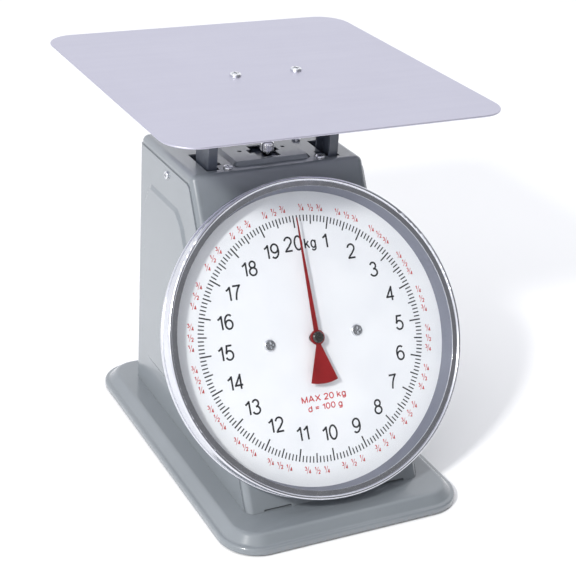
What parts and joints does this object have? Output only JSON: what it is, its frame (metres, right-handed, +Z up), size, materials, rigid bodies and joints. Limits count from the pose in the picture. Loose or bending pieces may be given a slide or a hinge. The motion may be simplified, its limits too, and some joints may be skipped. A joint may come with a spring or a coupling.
{
  "type": "mechanical dial platform scale",
  "caption": "Mechanical spring scale with a square metal platform over a grey enamelled housing and a round glazed dial that leans back.",
  "frame": {"origin": "centre of the base's footprint, on the surface that the scale stands on", "axes": "+Z up, -Y is the side that the dial faces, +X to the right of a person reading the dial"},
  "size_m": [0.25, 0.3093, 0.2825],
  "materials": {
    "grey_enamel": "gloss grey stoving enamel",
    "brushed_stainless": "fine brushed stainless sheet",
    "polished_aluminium": "polished spun aluminium",
    "dial_print": "white printed enamel",
    "clear_glass": "clear flat glass",
    "black_rubber": "matt black rubber",
    "zinc_steel": "bright zinc plated steel",
    "pressed_steel": "zinc plated pressed steel",
    "dark_enamel": "dark grey enamel",
    "spring_steel": "oiled spring steel",
    "brass": "machined brass",
    "red_enamel": "satin red enamel",
    "black_plastic": "black moulded cap",
    "nickel": "knurled nickel plate"
  },
  "bodies": {
    "frame": {"base_pan": "grey_enamel", "rubber_feet": "black_rubber", "feet_screws": "zinc_steel", "front_top_shell": "grey_enamel", "rear_side_shell": "grey_enamel", "shell_screws": "zinc_steel", "top_screws": "zinc_steel", "dial_case": "polished_aluminium", "dial_support_ring": "pressed_steel", "dial_plate": "dial_print", "dial_surround": "polished_aluminium", "lens_gasket": "black_rubber", "lens": "clear_glass", "bezel_ring": "polished_aluminium", "dial_posts": "zinc_steel", "dial_screws": "zinc_steel", "main_frame": "dark_enamel", "frame_bolts": "zinc_steel", "front_movement_plate": "pressed_steel", "rear_movement_plate": "pressed_steel", "movement_pillars": "zinc_steel", "movement_screws": "zinc_steel", "movement_bolts": "zinc_steel", "spindle_bushes": "brass", "rack_guide": "pressed_steel", "pivot_rods": "zinc_steel", "rod_clips": "zinc_steel", "hanger_guide_pins": "zinc_steel"},
    "carrier": {"weighing_platform": "brushed_stainless", "platform_screws": "zinc_steel", "platform_nuts": "zinc_steel", "carrier_bracket": "dark_enamel", "lower_stirrup": "pressed_steel", "stirrup_rivets": "zinc_steel", "link_studs": "zinc_steel", "rack_arm": "pressed_steel", "rack_arm_rivets": "zinc_steel"},
    "upper_link": {"upper_check_arm": "pressed_steel"},
    "lower_link": {"lower_check_arm": "pressed_steel"},
    "rack_slide": {"rack": "pressed_steel", "rack_pin": "zinc_steel"},
    "pointer": {"spindle": "zinc_steel", "pinion": "brass", "needle": "red_enamel", "needle_counterweight": "red_enamel", "needle_cap": "black_plastic"},
    "knob": {"zero_knob": "nickel"},
    "hanger": {"spring_hanger": "pressed_steel", "zero_rod": "zinc_steel", "left_spring": "spring_steel", "right_spring": "spring_steel"}
  },
  "joints": [
    {"name": "platform_slide", "type": "slide", "parent": "frame", "child": "carrier", "axis": [0, 0, -1], "range_m": [0, 0.02176], "stiffness_N_per_m": 9014, "springref_m": -0.0017, "deforming": ["left_spring", "right_spring"]},
    {"name": "pointer_turn", "type": "hinge", "parent": "frame", "child": "pointer", "pos_m": [0, -0.057, 0.1156], "axis": [0, 0.866, -0.5], "range_deg": [0, 360]},
    {"name": "rack_travel", "type": "slide", "parent": "frame", "child": "rack_slide", "axis": [0, -0.5, -0.866], "range_m": [0, 0.02514]},
    {"name": "upper_link_turn", "type": "hinge", "parent": "frame", "child": "upper_link", "pos_m": [0, 0.09, 0.178], "axis": [1, 0, 0], "range_deg": [0, 21.3]},
    {"name": "lower_link_turn", "type": "hinge", "parent": "frame", "child": "lower_link", "pos_m": [0, 0.09, 0.066], "axis": [1, 0, 0], "range_deg": [0, 21.3]},
    {"name": "knob_turn", "type": "hinge", "parent": "frame", "child": "knob", "pos_m": [0, 0.034, 0.2253], "axis": [0, 0, 1], "range_deg": [-360, 360]},
    {"name": "hanger_slide", "type": "slide", "parent": "frame", "child": "hanger", "axis": [0, 0, 1], "range_m": [-0.001, 0.001]}
  ],
  "couplings": [
    {"joint": "pointer_turn", "follows": "platform_slide", "rad_per_m": 288.68},
    {"joint": "rack_travel", "follows": "platform_slide", "ratio": 1.1547},
    {"joint": "upper_link_turn", "follows": "platform_slide", "rad_per_m": 17.043},
    {"joint": "lower_link_turn", "follows": "platform_slide", "rad_per_m": 17.043},
    {"joint": "knob_turn", "follows": "hanger_slide", "rad_per_m": -6283.2}
  ]
}
